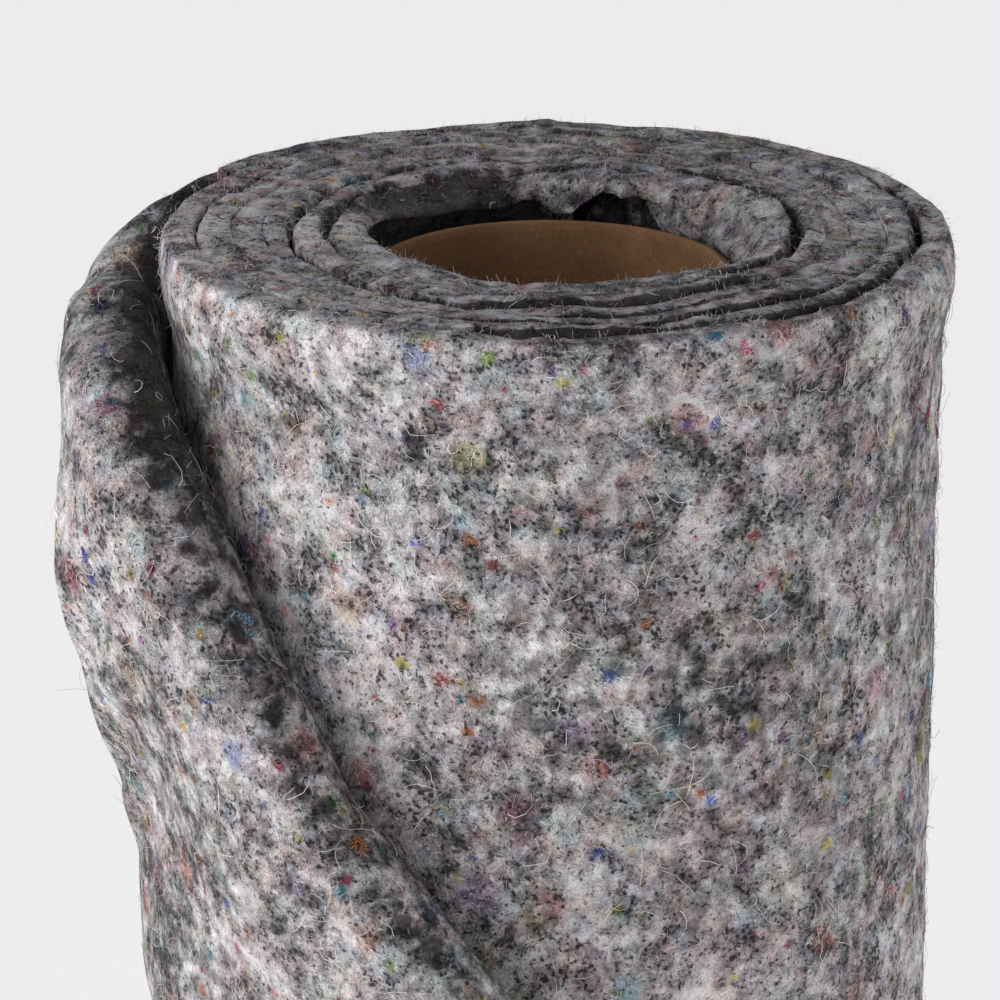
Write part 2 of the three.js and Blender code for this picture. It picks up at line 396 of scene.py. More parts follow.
# How far the turns stand apart at the rim, by how many turns in from the loose end.
turnGaps = [
    (0.9, 0.0), (1.2, 0.0), (1.3, 0.7), (1.41, 1.1), (1.47, 1.5), (1.52, 2.8), (1.58, 2.4), (1.66, 1.2),
    (1.75, 0.2), (1.86, -0.4), (1.92, 1.3), (1.98, 1.0), (2.05, -0.3), (2.4, -0.4), (2.5, 0.8),
    (2.54, 2.6), (2.62, 2.6), (2.72, 1.6), (2.8, -0.3), (3.4, -0.4), (3.58, 0.2), (3.66, 1.3),
    (3.74, 0.9), (3.82, -0.4), (4.4, -0.4), (4.54, 0.2), (4.62, 1.6), (4.7, 2.0), (4.8, 0.9),
    (4.87, 0.6), (4.92, 2.4), (4.98, 0.8), (5.08, 0.2), (5.22, 1.4), (5.32, 2.5), (5.41, 3.0),
    (5.48, 1.8), (5.56, 0.2), (5.8, 0.2), (5.88, 1.6), (5.93, 3.0), (5.99, 1.0), (6.1, 0.2),
]

# How far the mouth's lip leans out from the core, by azimuth.
mouthLean = [(0, 8.0), (55, 6.0), (74, 3.0), (100, 5.5), (135, 5.0), (165, 3.0), (190, 0.5),
             (230, 0.0), (285, 0.6), (315, 3.5), (340, 7.5), (360, 8.0)]


def flareAt(drop):
    w = woundFelt
    top = w["flareShareAtRim"] + (1 - w["flareShareAtRim"]) * smooth(drop / w["flareWidest"])
    below = 1 - smooth((drop - w["flareWidest"]) / (w["flareEnd"] - w["flareWidest"]))
    return w["flare"] * np.where(drop < w["flareWidest"], top, below)


def outerFace(wound):
    # radius of the felt's outer face after winding inward by that many degrees
    turns = wound / 360
    return woundFelt["outerRadius"] - woundFelt["pitch"] * turns - woundFelt["tightening"] * turns ** 2


def wobble(wound, drop):
    # how far a turn wanders in and out near the rim
    w = woundFelt
    place = np.stack([wound / w["wobbleLength"], 0 * wound, 0 * wound], axis=-1)
    start = smooth((wound - w["wobbleStart"]) / w["wobbleFade"])
    return w["wobble"] * lumps(place, 1.0, 8) * start * np.clip(1 - drop / w["wobbleDepth"], 0, 1)


def gapAt(turns, drop):
    places, widths = zip(*turnGaps)
    fade = np.clip(1 - drop / woundFelt["gapDepth"], 0, 1)
    return woundFelt["closedGap"] + np.interp(turns, places, widths) * fade


# The mouth's wall is the inner face of the innermost turn. It has one sharp pleat. Beside
# the felt's own inner end it stands out by the felt's thickness, then settles on the core.
mouth = {
    "overhang": 3.3,
    "leanPower": 0.8,
    "settle": 17.0,
    "hollow": 6.5,
    "hollowEnd": 17,
    "pleat": 2.6,
    "pleatAzimuth": 65.5,
    "pleatWidth": 2.0,
    "pleatLight": 0.4,
    "tongue": 2.2,
    "tongueAzimuth": 76,
    "tongueWidth": 13,
    "rimSlope": 0.45,
    # shade is painted shade on the mouth's wall, by azimuth, and pleatLight a painted highlight on the pleat
    "shade": [(0, 0.45), (60, 0.5), (85, 0.64), (100, 0.7), (150, 0.7), (180, 0.5), (220, 0.3),
              (360, 0.45)],
}

# The mouth's lip hangs over a hollow behind the core. At the back the corner of the
# inner end hangs lowest, as a small tongue: azimuth and how far down the lip reaches.
lipReach = [(0, 40.0), (40, 40.0), (56, 9.0), (63, 5.0), (70, 4.2), (73.9, 4.4), (74.1, 7.8), (80, 7.6),
            (86, 6.0), (92, 4.4), (98, 3.0), (110, 2.4), (150, 2.0), (168, 3.0), (180, 40.0), (360, 40.0)]

# At the back left the innermost turn slumps toward the core: azimuth, how far, and how dark its painted
# shade is.
slump = [(0, 0.0, 0.0), (94, 0.0, 0.0), (103, 3.6, 0.9), (125, 4.2, 1.0), (145, 3.2, 0.95), (160, 1.0, 0.3),
         (170, 0.0, 0.0), (360, 0.0, 0.0)]


def insideLastTurn(wound, drop):
    # the inner face of the innermost turn: on the core, over its end, then leaning out
    w = woundFelt
    lip = np.clip(1 - drop / coreTop, 0, 1)
    stepUp = outerFace(w["innerEnd"]) + 0.3 - w["boreRadius"]
    step = np.exp(-(np.maximum(wound - w["innerEnd"] + 360, 0) / mouth["settle"]) ** 2)
    step = step * smooth((drop - 2.5) / 3)
    azimuth = (w["seamAzimuth"] - wound) % 360
    lean = np.interp(azimuth, *zip(*mouthLean))
    over = mouth["overhang"] * smooth((coreTop - drop) / 2)
    fromPleat = (azimuth - mouth["pleatAzimuth"]) / mouth["pleatWidth"]
    pleat = mouth["pleat"] * np.exp(-fromPleat ** 2) * smooth((coreTop - drop) / 3)
    below = np.interp(azimuth, *zip(*lipReach))
    hollow = mouth["hollow"] * smooth((drop - below) / 1.6)
    hollow = hollow * (1 - smooth((drop - mouth["hollowEnd"]) / 6)) * (1 - step)
    tongue = np.clip(1 - np.abs(azimuth - mouth["tongueAzimuth"]) / mouth["tongueWidth"], 0, 1)
    tongue = mouth["tongue"] * tongue * smooth((below - drop + 1.5) / 2)
    leaning = lean * lip ** mouth["leanPower"]
    return w["boreRadius"] + stepUp * step - over * (1 - step) + leaning - pleat - tongue + hollow


def riseAt(wound, radius, azimuth):
    # how far the cut edge stands above the rim, before it fades out below
    turns = wound / 360
    rise = woundFelt["backRise"] * np.sin(np.radians(azimuth))
    # inside the outer turn each turn dips and rises along the winding
    place = np.stack([wound / 360 * 9, 0 * wound, 0 * wound], axis=-1)
    dips = 0.9 * lumps(place, 1.0, 5) + 0.5 * lumps(place, 0.4, 7)
    bumps = 0.3 * lumps(polar(radius, azimuth, 0 * radius), 11, 6)
    rise = rise + dips * smooth((turns - 0.9) / 0.5) + bumps * smooth((turns - 0.9) / 0.2)
    slope = np.interp(azimuth % 360, *zip(*mouthLean)) * mouth["rimSlope"]
    rise = rise - slope * smooth((54 - radius) / 13)
    places, depths, _ = zip(*slump)
    return rise - np.interp(azimuth % 360, places, depths) * smooth((53 - radius) / 8)


def bandPoints(wound, across, drop):
    # the felt wound by so many degrees inward, across its thickness from -1 inside to 1
    # outside, and that far below the rim
    w = woundFelt
    turns = wound / 360
    outside = outerFace(wound) + wobble(wound, drop) - np.where(turns > 0.9, gapAt(turns, drop) / 2, 0)
    inside = outerFace(wound + 360) + wobble(wound + 360, drop) + gapAt(turns + 1, drop) / 2
    # the last turn lies on the core instead of on felt
    last = smooth((wound - w["innerEnd"] + 362) / 4)
    inside = inside + (insideLastTurn(wound, drop) - inside) * last
    middle, half = (outside + inside) / 2, (outside - inside) / 2
    radius = middle + across * half
    azimuth = w["seamAzimuth"] - wound
    # the felt's inner end is cut at a slant
    slant = w["endSlant"] * smooth((drop - 1) / 7) - w["endSetBack"]
    azimuth = azimuth + slant * smooth((wound - w["innerEnd"] + w["endFade"]) / w["endFade"])
    flareStart, flareFull = w["flareRadii"]
    radius = radius + flareAt(drop) * smooth((radius - flareStart) / (flareFull - flareStart))
    fade = np.clip(1 - drop / w["riseDepth"], 0, 1)
    return polar(radius, azimuth, rimHeight - drop + riseAt(wound, radius, azimuth) * fade)


# Painted shade on the felt, from 0 to 1: on its cut edge in the middle and toward both faces,
# at the joints between turns, and in the crevices. The patch keys set broad random patches of
# the felt's own tone.
shading = {"cutMiddle": 0.75, "cutSides": 0.35, "cutJoint": 1.5, "joint": 0.25, "cutMost": 0.97,
           "crevice": 0.72, "patch": 0.20, "patchSwing": 0.34, "patchSize": 40, "patchMost": 0.6}


def paintedShadeAt(wound, across, drop, openness, rim, radius):
    # painted shade, how much darker the felt is painted: on its cut edge, in a crevice, under the mouth's
    # lip and where the innermost turn slumps
    w, s = woundFelt, shading
    azimuth = (w["seamAzimuth"] - wound) % 360
    joint = np.where(rim, 0, openness) * across ** 2
    cut = np.interp(azimuth, *zip(*w["cutShade"]))
    cut = cut * (s["cutMiddle"] + s["cutSides"] * across ** 2 + s["cutJoint"] * joint)
    cut = np.minimum(cut + s["joint"] * joint, s["cutMost"])
    edge = np.where(rim, smooth((1 - np.abs(across)) / 0.4) * (1 - smooth((drop - 1.5) / 1.5)), 1)
    paintedShadeAndPatches = np.where(rim, cut * edge, np.maximum(cut, s["crevice"] * smooth(drop / 5)))
    below = np.interp(azimuth, *zip(*lipReach))
    shaded = np.interp(azimuth, *zip(*mouth["shade"]))
    wall = shaded * smooth(drop / 5) + (1 - shaded) * smooth((drop - below + 0.4) / 1.6)
    # painted highlight: less painted shade where the pleat catches the light
    wall = wall * (1 - mouth["pleatLight"] * np.exp(-((azimuth - 66) / 2.2) ** 2))
    paintedShadeAndPatches = np.where((across < 0) & (wound > w["innerEnd"] - 360) & (drop > 1), wall, paintedShadeAndPatches)
    places, _, darks = zip(*slump)
    return np.maximum(paintedShadeAndPatches, np.interp(azimuth, places, darks) * smooth((53.5 - radius) / 4.5))


def patchShade(points):
    # broad lighter and darker areas of the outer face
    lighter = shading["patchSwing"] * lumps(points, shading["patchSize"], 1874)
    return np.clip(shading["patch"] - lighter, 0, shading["patchMost"])


def bandProfile(outerDrops, innerDrops, edgeSteps):
    # across and drop round one section: up the outer face, over the top, down the inner
    # face and back under the bottom
    edge = woundFelt["edgeRound"]
    turn = np.linspace(0, math.pi, edgeSteps + 2)[1:-1]
    square = woundFelt["edgeSquareness"]
    level = np.sign(np.cos(turn)) * np.abs(np.cos(turn)) ** square
    up = np.sin(turn) ** square
    across = [np.ones(len(outerDrops)), level, -np.ones(len(innerDrops)), -level[::2]]
    foot = rimHeight - woundFelt["footRound"] * (1 - up[::2])
    drop = [np.array(outerDrops), edge * (1 - up), np.array(innerDrops), foot]
    return np.concatenate(across), np.concatenate(drop)


# The felt's uneven surface: how far it is pushed, the size of the lumps, and their seed.
fluffLayers = [(0.55, 17, 11), (0.38, 7, 12), (0.3, 3.4, 13)]


def fluff(points, faces, share, sideways=1.0):
    # the surface pushed in and out along its normals
    normal = vertexNormals(points, faces)
    normal[:, :2] *= np.reshape(sideways, (-1, 1))
    push = sum(reach * lumps(points, size, seed) for reach, size, seed in fluffLayers)
    return points + normal * (push * share)[:, None]


def makeBand(name, startWound, endWound, step, outerDrops, innerDrops, edgeSteps, material):
    across, drop = bandProfile(outerDrops, innerDrops, edgeSteps)
    meanRadius = outerFace((startWound + endWound) / 2)
    columns = int((endWound - startWound) * math.pi / 180 * meanRadius / step)
    wound = np.linspace(startWound, endWound, columns)
    w, a = np.meshgrid(wound, across, indexing="ij")
    # a turn pressed against its neighbour has hardly any rounding at that edge
    openness = np.clip(gapAt(w / 360 + (1 - a) / 2, 0 * w) / 1.3, 0.1, 1)
    onOutside = (a > 0) & (w < woundFelt["outsideEnd"])
    rim = onOutside | (a < 0) & (w > woundFelt["innerEnd"] - 360)
    openness = np.where(rim, 1, openness)
    d = np.where(drop <= woundFelt["edgeRound"], drop * (0.25 + 0.75 * openness), drop)
    points = bandPoints(w, a, d).reshape(-1, 3)
    rows = len(across)
    faces = gridFaces(columns, rows, True)[:, ::-1]
    # most uneven outside and near the rim, least at the foot and between pressed turns
    share = np.where((d < 12) | onOutside, 1.0, 0.2) * np.where(d > rimHeight - 3, 0.2, 1)
    share = share * np.where(np.abs(a) > 0.99, openness, np.where((a > 0.3) & (w < 360), 0.6, 1.4))
    points = fluff(points, faces, share.reshape(-1), openness.reshape(-1))
    radius = np.hypot(points[:, 0], points[:, 1]).reshape(w.shape)
    paintedShadeAndPatches = paintedShadeAt(w, a, d, openness, rim, radius).reshape(-1)
    patches = patchShade(points) * smooth(d.reshape(-1) / 12)
    paintedShadeAndPatches = paintedShadeAndPatches + np.where((onOutside & (a > 0.9)).reshape(-1), patches, 0)
    caps = [range(rows), range((columns - 1) * rows + rows - 1, (columns - 1) * rows - 1, -1)]
    piece = putMesh(name, points, faces, material, caps)
    setPaintedShadeAndPatches(piece, paintedShadeAndPatches)
    return piece, points, faces


# The loose end. Its corner is turned over along a line that leans from the vertical.
looseFelt = {
    "thickness": 4.5,
    "layGap": 0.5,
    "foldAzimuth": 158.0,
    "lean": math.radians(46),
    "endAzimuth": 295.0,
    "wrapRadius": 83.7,
    "coverFlare": 3.6,
    "coverEnd": 60.0,
    "liftToFade": 8.0,
    "settleLength": 60.0,
    "levelDrop": 330.0,
    # dimAzimuth, dimFrom and dimShare set the painted shade on the fold beside the roll
    "dimAzimuth": 350.0,
    "dimFrom": 0.45,
    "dimShare": [(0, 0.8), (60, 0.8), (130, 0.45), (300, 0.42)],
}

# Along the fold: distance from the rim, bow to the upper right, radius of the bend, and
# how far off the felt lies once it has settled beside the bend.
foldRows = [
    (0, 0, 7.5, 15), (22, 7, 9.8, 19.4), (40, 20, 9.7, 18.2), (60, 32, 10.5, 27.0), (84, 33.5, 11.6, 28.5),
    (104, 29, 10.0, 17.5), (119, 25, 9.0, 9.5), (130, 22, 8.8, 5.2), (170, 12.8, 8.0, 4.6),
    (230, 4.5, 8.0, 4.6),
]


def foldValue(along, column):
    places = [row[0] for row in foldRows]
    values = [row[column] for row in foldRows]
    i = np.clip(np.searchsorted(places, along, side="right") - 1, 0, len(places) - 2)
    a, b = np.take(places, i), np.take(places, i + 1)
    return np.take(values, i) + (np.take(values, i + 1) - np.take(values, i)) * smooth((along - a) / (b - a))


leanSin, leanCos = math.sin(looseFelt["lean"]), math.cos(looseFelt["lean"])
panelStart = -(math.pi / 2) * foldRows[0][2] / leanCos
panelEnd = math.radians(looseFelt["endAzimuth"] - looseFelt["foldAzimuth"]) * looseFelt["wrapRadius"]


def sheetPoints(across, drop):
    # the loose end's middle surface, from the flat felt to its folded place
    along = across * leanSin + drop * leanCos
    bow, radius, standOff = (foldValue(along, column) for column in (1, 2, 3))
    past = across * leanCos - drop * leanSin - bow
    start = -(math.pi / 2) * radius
    angle = np.clip((past - start) / radius, 0, math.pi)
    beside = np.where(past > start, start + radius * np.sin(angle), past)
    beside = np.where(past > -start, -past, beside)
    lifted = radius * (1 - np.cos(angle))
    lifted = lifted + (standOff - 2 * radius) * smooth((past + start) / looseFelt["settleLength"])
    laidAcross = along * leanSin + (beside + bow) * leanCos
    laidDrop = along * leanCos - (beside + bow) * leanSin
    ridge = along * leanSin + (start + radius + bow) * leanCos
    wrap = looseFelt["wrapRadius"]
    azimuth = looseFelt["foldAzimuth"] + np.degrees(ridge / wrap + (laidAcross - ridge) / (wrap + lifted))
    flare = looseFelt["coverFlare"] * np.clip(1 - np.maximum(0, laidDrop) / looseFelt["coverEnd"], 0, 1)
    flare = flare * (1 - smooth(lifted / looseFelt["liftToFade"]))
    under = outerFace(woundFelt["seamAzimuth"] - azimuth + 360) + flare + looseFelt["layGap"]
    return polar(under + looseFelt["thickness"] / 2 + lifted, azimuth, rimHeight - laidDrop)


def bendRow(share, columns):
    # one row of the sheet along the fold, that many bend radii past the fold's line
    first, last = 0.0, panelEnd
    # the row's ends are moved onto the sheet's upper edge and its free edge
    for _ in range(12):
        first = float(share * foldValue(first, 2) + foldValue(first, 1)) * leanSin / leanCos
        last = (panelEnd - float(share * foldValue(last, 2) + foldValue(last, 1)) * leanCos) / leanSin
    along = np.linspace(first, last, columns)
    past = share * foldValue(along, 2) + foldValue(along, 1)
    return np.stack([along * leanSin + past * leanCos, np.maximum(0, along * leanCos - past * leanSin)], -1)


def panelRows(columns, cornerRows, bendRows, belowRows, lowRows):
    # rows of the flat sheet from its folded corner, closest together round the bend
    over = bendRow(math.pi / 2, columns)
    corner = np.full_like(over, 0) + np.array([panelEnd, 0])
    rows = [corner + (over - corner) * i / cornerRows for i in range(1, cornerRows)]
    rows += [bendRow(math.pi * (0.5 - i / bendRows), columns) for i in range(bendRows + 1)]
    across = np.linspace(panelStart, panelEnd, columns)
    level = np.stack([across, np.full(columns, looseFelt["levelDrop"])], -1)
    under = rows[-1]
    rows += [under + (level - under) * i / belowRows for i in range(1, belowRows + 1)]
    for drop in np.linspace(looseFelt["levelDrop"], rimHeight, lowRows + 1)[1:]:
        rows.append(np.stack([across, np.full(columns, drop)], -1))
    return np.array(rows)


def makeLooseEnd(name, material):
    columns = 132
    rows = panelRows(columns, cornerRows=78, bendRows=26, belowRows=62, lowRows=62)
    across, drop = rows[..., 0], rows[..., 1]
    middle = sheetPoints(across, drop)
    step = 0.05
    sideways = sheetPoints(across + step, drop) - sheetPoints(across - step, drop)
    down = sheetPoints(across, drop + step) - sheetPoints(across, drop - step)
    normal = np.cross(down, sideways)
    normal /= np.linalg.norm(normal, axis=-1, keepdims=True)
    # both faces of the felt, drawn together at its edges to round them
    edge = np.minimum(np.minimum(panelEnd - across, rimHeight - drop), drop)
    half = looseFelt["thickness"] / 2
    reach = half * np.sqrt(np.clip(1 - np.clip(1 - edge / half, 0, 1) ** 2, 0.04, 1))
    top = middle + normal * reach[..., None]
    bottom = middle - normal * reach[..., None]
    points = np.concatenate([top.reshape(-1, 3), bottom.reshape(-1, 3)])
    count = len(rows)
    size = count * columns
    r, c = np.meshgrid(np.arange(count - 1), np.arange(columns - 1), indexing="ij")
    a = (r * columns + c).reshape(-1)
    front = np.stack([a, a + columns, a + columns + 1, a + 1], -1)
    back = np.stack([size + a, size + a + 1, size + a + columns + 1, size + a + columns], -1)
    # strips that join the two faces along the four edges
    left = np.arange(count - 1) * columns
    right = left + columns - 1
    foot = (count - 1) * columns + np.arange(columns - 1)
    tip = np.arange(columns - 1)
    leftEdge = np.stack([left, size + left, size + left + columns, left + columns], -1)
    rightEdge = np.stack([right, right + columns, size + right + columns, size + right], -1)
    footEdge = np.stack([foot, size + foot, size + foot + 1, foot + 1], -1)
    tipEdge = np.stack([tip, tip + 1, size + tip + 1, size + tip], -1)
    faces = np.concatenate([front, back, leftEdge, rightEdge, footEdge, tipEdge])
    share = np.concatenate([np.ones(size), 0.5 * np.ones(size)])
    share *= np.tile(np.where(drop > rimHeight - 3, 0.2, 1).reshape(-1), 2)
    points = fluff(points, faces, share)
    points[:, 2] = np.maximum(points[:, 2], 0)
    piece = putMesh(name, points, faces, material)
    # painted shade where the fold turns away from the light into the gap beside the roll
    along = across * leanSin + drop * leanCos
    bow, radius = foldValue(along, 1), foldValue(along, 2)
    past = across * leanCos - drop * leanSin - bow
    away = normal @ polar(1.0, looseFelt["dimAzimuth"], 0.0)
    folded = smooth((past + math.pi / 2 * radius) / radius)
    dimmest = np.interp(along, *zip(*looseFelt["dimShare"]))
    dims = [folded * smooth(facing * away + looseFelt["dimFrom"]) * dimmest for facing in (1, -1)]
    setPaintedShadeAndPatches(piece, np.concatenate([dim.reshape(-1) for dim in dims]) + patchShade(points))
    return piece, points, faces


# The tube, wound from strips of board with a slight helical seam between them. Its end is
# worn round on the outer side.
boardTube = {"inner": 38.0, "outer": 42.0, "wornRadius": 3.6, "wornHeight": 4.0, "plyPitch": 105.0,
             "seamDepth": 0.25, "seamWidth": 0.02, "outOfRound": 0.0018}


def makeTube(name, material):
    tube = boardTube
    inner, outer, worn, wornHeight = (tube[key] for key in ("inner", "outer", "wornRadius", "wornHeight"))
    top = rimHeight - coreTop
    low = np.concatenate([np.linspace(0, top - 60, 40), np.linspace(top - 58, top - 0.6, 30)])
    lip = np.linspace(0, math.pi / 2, 8)
    outside = low[low < top - wornHeight - 0.5]
    wornFace = outer - worn + worn * np.cos(lip)
    radius = np.concatenate([np.full(len(outside), outer), wornFace, np.full(len(low), inner)])
    height = np.concatenate([outside, top - wornHeight + wornHeight * np.sin(lip), low[::-1]])
    columns = 180
    azimuth = np.linspace(0, 360, columns, endpoint=False)
    a, r = np.meshgrid(azimuth, radius, indexing="ij")
    h = np.broadcast_to(height, a.shape)
    ply = (a / 360 + h / tube["plyPitch"]) % 1.0
    seam = tube["seamDepth"] * np.exp(-((ply - 0.5) / tube["seamWidth"]) ** 2)
    middle = (inner + outer) / 2
    points = polar(r - np.sign(r - middle) * seam, a, h).reshape(-1, 3)
    rows = len(radius)
    faces = gridFaces(columns, rows, True)[:, ::-1]
    last = np.arange(rows) + (columns - 1) * rows
    up = (np.arange(rows) + 1) % rows
    closing = np.stack([last, np.arange(rows), up, (columns - 1) * rows + up], -1)[:, ::-1]
    points[:, :2] *= (1 + tube["outOfRound"] * lumps(points, 30, 21))[:, None]
    return putMesh(name, points, np.concatenate([faces, closing]), material)


# Loose hairs, each a thin three-sided tube. A lying hair has both ends in the felt, a
# standing one has its tip free. Edges is how many more grow at the rim, and clump how
# many start from one spot.
hairLots = [
    {"name": "hairsPale", "shades": "pale", "count": 5600, "steps": 5, "length": (4.0, 12.0),
     "radius": (0.06, 0.10), "curl": 0.42, "standing": 0.12, "lift": (0.25, 1.0), "edges": 1.0, "clump": 0},
    {"name": "hairsFuzz", "shades": "pale", "count": 9600, "steps": 3, "length": (0.8, 3.0),
     "radius": (0.035, 0.06), "curl": 0.3, "standing": 0.9, "lift": (0.3, 1.1), "edges": 7.0, "clump": 0},
    {"name": "hairsDark", "shades": "dark", "count": 3000, "steps": 5, "length": (3.0, 9.0),
     "radius": (0.05, 0.085), "curl": 0.6, "standing": 0.25, "lift": (0.2, 0.8), "edges": 1.0, "clump": 0},
    {"name": "hairsDyed", "shades": "dyed", "count": 4400, "steps": 3, "length": (0.8, 2.4),
     "radius": (0.08, 0.14), "curl": 0.7, "standing": 0.1, "lift": (0.15, 0.5), "edges": 1.0, "clump": 26},
]
# More hairs grow on the upper part. They grow beyond outerRadius, in the mouth and on
# faces that look up.
hairPlaces = {"topDepth": 215.0, "topShare": 4.2, "outerRadius": 82, "mouthRadius": 55, "clumpSpread": 0.6}


def rootPlaces(lot, points, faces):
    # each face's corners and normal, and its share of the hairs
    quad = points[faces]
    normal = np.cross(quad[:, 2] - quad[:, 0], quad[:, 3] - quad[:, 1])
    area = np.linalg.norm(normal, axis=1)
    normal = normal / np.maximum(area, 1e-9)[:, None]
    centre = quad.mean(axis=1)
    drop = rimHeight - centre[:, 2]
    weight = area * np.where(drop < hairPlaces["topDepth"], hairPlaces["topShare"], 1.0)
    radial = np.hypot(centre[:, 0], centre[:, 1])
    outward = (normal[:, 0] * centre[:, 0] + normal[:, 1] * centre[:, 1]) / np.maximum(radial, 1)
    # none inside the closed turns, under the foot or behind the loose end
    outside = (outward > 0) & (radial > hairPlaces["outerRadius"])
    inMouth = radial < hairPlaces["mouthRadius"]
    weight = weight * np.where((normal[:, 2] > 0.3) | outside | inMouth, 1, 0)
    weight = weight * np.where((normal[:, 2] < -0.5) | (drop > rimHeight - 4), 0, 1)
    weight = weight * np.where(inMouth & (drop > coreTop - 1), 0, 1)
    return quad, normal, weight * np.where(drop < 6, lot["edges"], 1.0)


def growHairs(lot, surfaces, material):
    places = [rootPlaces(lot, points, faces) for points, faces in surfaces]
    corners, normals, weights = (np.concatenate(part) for part in zip(*places))
    count, steps = lot["count"], lot["steps"]
    picked = rng.choice(len(weights), size=count, p=weights / weights.sum())
    if lot["clump"]:
        picked = picked[np.arange(count) // lot["clump"] * lot["clump"]]
    u, v = rng.random((2, count, 1))
    quad = corners[picked]
    root = (quad[:, 0] * (1 - u) + quad[:, 1] * u) * (1 - v) + (quad[:, 3] * (1 - u) + quad[:, 2] * u) * v
    normal = normals[picked]
    if lot["clump"]:
        root = root + np.cross(normal, rng.normal(0, hairPlaces["clumpSpread"], (count, 3)))
    helper = np.where(np.abs(normal[:, 2:3]) < 0.8, [[0.0, 0.0, 1.0]], [[1.0, 0.0, 0.0]])
    first = np.cross(normal, helper)
    first /= np.linalg.norm(first, axis=1, keepdims=True)
    second = np.cross(normal, first)
    length = rng.uniform(*lot["length"], count)
    # short at the rim
    length = np.where(root[:, 2] > rimHeight - 9, np.minimum(length * 0.5, 3.0), length)
    heading = rng.uniform(0, 2 * math.pi, count)
    bend = rng.normal(0, lot["curl"], count)
    standing = rng.random(count) < lot["standing"]
    lift = rng.uniform(*lot["lift"], count)
    path = [root - normal * 0.15]
    spot = root.copy()
    for k in range(1, steps + 1):
        heading = heading + bend + rng.normal(0, lot["curl"] * 0.6, count)
        stride = (length / steps)[:, None]
        spot = spot + stride * (np.cos(heading)[:, None] * first + np.sin(heading)[:, None] * second)
        t = k / steps
        height = np.where(standing, lift * 1.7 * t ** 1.3, lift * math.sin(math.pi * t) - 0.1)
        path.append(spot + normal * height[:, None])
    path = np.stack(path, axis=1)
    along = np.gradient(path, axis=1)
    along /= np.linalg.norm(along, axis=2, keepdims=True)
    side = np.cross(along, normal[:, None, :])
    side /= np.maximum(np.linalg.norm(side, axis=2, keepdims=True), 1e-6)
    up = np.cross(side, along)
    # thinner toward the tip
    radius = rng.uniform(*lot["radius"], count)[:, None] * np.linspace(1, 0.55, steps + 1)[None, :]
    ring = []
    for angle in (0.5, 0.5 + 2 * math.pi / 3, 0.5 + 4 * math.pi / 3):
        ring.append(path + radius[..., None] * (math.cos(angle) * side + math.sin(angle) * up))
    points = np.stack(ring, axis=2).reshape(-1, 3)
    points[:, 2] = np.maximum(points[:, 2], 0.3)
    start = (np.arange(count) * (steps + 1) * 3)[:, None]
    k, j = np.meshgrid(np.arange(steps), np.arange(3), indexing="ij")
    a = start[..., None] + k * 3 + j
    b = start[..., None] + k * 3 + (j + 1) % 3
    faces = np.stack([a, b, b + 3, a + 3], axis=-1).reshape(-1, 4)
    end = start + steps * 3
    caps = np.concatenate([start + np.array([2, 1, 0]), end + np.array([0, 1, 2])])
    piece = putMesh(lot["name"], points, faces, material, caps.tolist())
    print("  ", lot["name"], count)
    return piece


print("materials")
felt = makeFelt()
board = makeBoard()

print("felt roll")
# The faces' rows, as drops below the rim: closest where a face shows.
lowest = rimHeight - 1
shownOutside = np.concatenate([
    np.linspace(lowest, 212, 88), np.linspace(210, 22, 95), np.linspace(20, 1.7, 14)])
hiddenInside = np.array([1.7, 3, 5, 8, 12, 18, 40, 300, lowest])
hiddenOutside = np.array([lowest, 300, 60, 18, 12, 8, 5, 3, 1.7])
mouthInside = np.array([1.7, 2.5, 3.3, 4.1, 4.9, 5.7, 6.5, 7.3, 8.2, 9.4, 11, 16, 20, 26, 60, 300, lowest])
outerTurn, outerPoints, outerFaces = makeBand(
    "feltOuterTurn", woundFelt["outerTurnStart"], woundFelt["outerTurnEnd"], step=2.0,
    outerDrops=shownOutside, innerDrops=hiddenInside, edgeSteps=9, material=felt)
innerTurns, innerPoints, innerFaces = makeBand(
    "feltInnerTurns", woundFelt["outerTurnEnd"], woundFelt["innerEnd"], step=1.8,
    outerDrops=hiddenOutside, innerDrops=mouthInside, edgeSteps=9, material=felt)
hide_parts("felt_roll")
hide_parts("felt_roll")

print("loose end")
looseEnd, loosePoints, looseFaces = makeLooseEnd("feltLooseEnd", felt)
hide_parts("loose_end")

print("core")
coreTube = makeTube("boardCoreTube", board)
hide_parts("core_tube")


print("hairs")
feltSurfaces = [(outerPoints, outerFaces), (innerPoints, innerFaces), (loosePoints, looseFaces)]
for lot in hairLots:
    kind = lot["name"].removeprefix("hairs")
    growHairs(lot, feltSurfaces, makeHair("lintHair" + kind, hairLook[lot["shades"]]))

# The photo's viewpoint: a long lens a little above the rim, which the roll's rim
# centre meets at rimPixel in a picture of 1000 by 1000.
cameraPlace = {"pitch": 18.5, "distance": 1160.0, "lens": 187.2, "sensor": 36.0,
               "rimPixel": (550.0, 226.0)}


def makeCamera():
    view = bpy.data.cameras.new("photoCamera")
    view.lens = cameraPlace["lens"]
    view.sensor_width = cameraPlace["sensor"]
    view.clip_start = 0.05
    camera = bpy.data.objects.new("photoCamera", view)
    bpy.context.scene.collection.objects.link(camera)
    pitch = math.radians(cameraPlace["pitch"])
    forward = Vector((0, math.cos(pitch), -math.sin(pitch)))
    upward = Vector((0, math.sin(pitch), math.cos(pitch)))
    focal = cameraPlace["lens"] / cameraPlace["sensor"] * 1000
    across = (cameraPlace["rimPixel"][0] - 500) / focal
    up = (500 - cameraPlace["rimPixel"][1]) / focal
    ray = (forward + Vector((1, 0, 0)) * across + upward * up).normalized()
    rim = Vector((axisX, axisY, rimHeight * mm))
    camera.location = rim - ray * cameraPlace["distance"] * mm
    camera.rotation_euler = (math.pi / 2 - pitch, 0, 0)
    bpy.context.scene.camera = camera


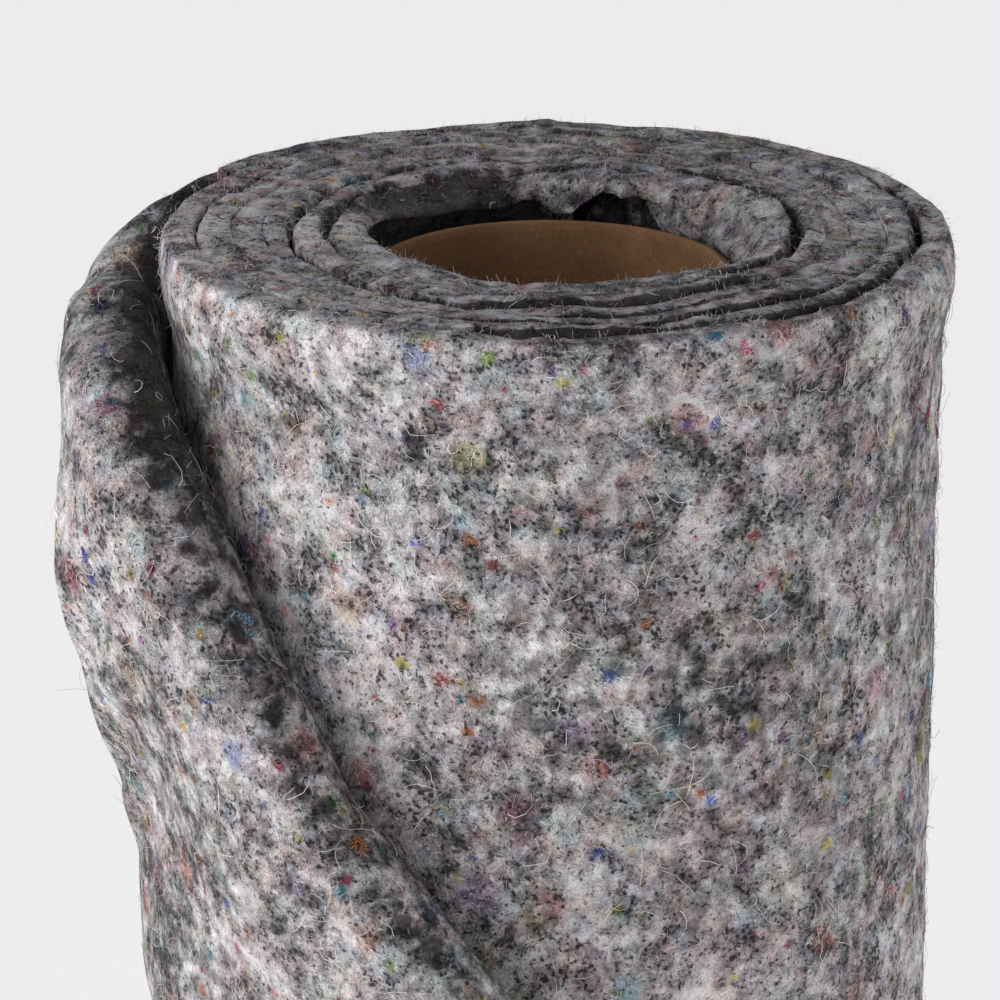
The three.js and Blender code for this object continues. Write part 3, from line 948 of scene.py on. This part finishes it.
# A wide pale floor under a sky that is pale at the horizon and dim overhead. Three tall
# soft boxes stand on the floor and light the sides more than the top. Each is given as
# name, watts, azimuth, distance, width and height.
studio = {"floorRadius": 60.0, "floorShade": "#aaa9ab", "floorGlow": 0.82, "backdrop": "#edecec",
          "midSky": "#a9aaae", "overhead": "#9c9da2",
          "lights": [("keyBox", 16.8, 207, 1.4, 0.9, 1.9), ("sideBox", 3.2, 350, 1.4, 0.7, 1.3),
                     ("frontBox", 1.2, 268, 1.6, 1.0, 1.1)]}


def makeStudio():
    material, tree = emptyMaterial("paleFloor")
    material.cycles.emission_sampling = "NONE"
    shade = addNode(tree, "ShaderNodeBsdfDiffuse", {"Color": linear(studio["floorShade"])})
    glow = addNode(tree, "ShaderNodeEmission",
                   {"Color": linear(studio["backdrop"]), "Strength": studio["floorGlow"]})
    both = addNode(tree, "ShaderNodeAddShader", {0: shade.outputs[0], 1: glow.outputs[0]})
    addNode(tree, "ShaderNodeOutputMaterial", {"Surface": both.outputs[0]})
    mesh = bpy.data.meshes.new("studioFloor")
    columns = 64
    rim = polar(studio["floorRadius"], np.arange(columns) * 360 / columns, np.zeros(columns))
    mesh.from_pydata(rim.tolist(), [], [range(columns)])
    mesh.materials.append(material)
    floor = bpy.data.objects.new("studioFloor", mesh)
    bpy.context.scene.collection.objects.link(floor)

    world = bpy.data.worlds.new("softSky")
    world.use_nodes = True
    tree = world.node_tree
    tree.nodes.clear()
    direction = addNode(tree, "ShaderNodeTexCoord").outputs["Generated"]
    upward = addNode(tree, "ShaderNodeSeparateXYZ", {0: direction}).outputs[2]
    ramp = addNode(tree, "ShaderNodeValToRGB", {"Fac": upward})
    setStops(ramp, [(0.10, studio["backdrop"]), (0.28, studio["midSky"]), (0.5, studio["overhead"])])
    sky = addNode(tree, "ShaderNodeBackground", {"Strength": 1.0, "Color": ramp.outputs[0]})
    addNode(tree, "ShaderNodeOutputWorld", {"Surface": sky.outputs[0]})
    bpy.context.scene.world = world

    for name, watts, azimuth, distance, width, height in studio["lights"]:
        lamp = bpy.data.lights.new(name, "AREA")
        lamp.shape = "RECTANGLE"
        lamp.size, lamp.size_y = width, height
        lamp.energy = watts
        light = bpy.data.objects.new(name, lamp)
        light.visible_camera = False
        a = math.radians(azimuth)
        toward = Vector((math.cos(a), math.sin(a), 0))
        light.location = toward * distance + Vector((axisX, axisY, height / 2 + 0.02))
        light.rotation_euler = toward.to_track_quat("Z", "Y").to_euler()
        bpy.context.scene.collection.objects.link(light)


print("camera and studio")
makeCamera()
makeStudio()
bpy.context.scene.view_settings.view_transform = "Standard"
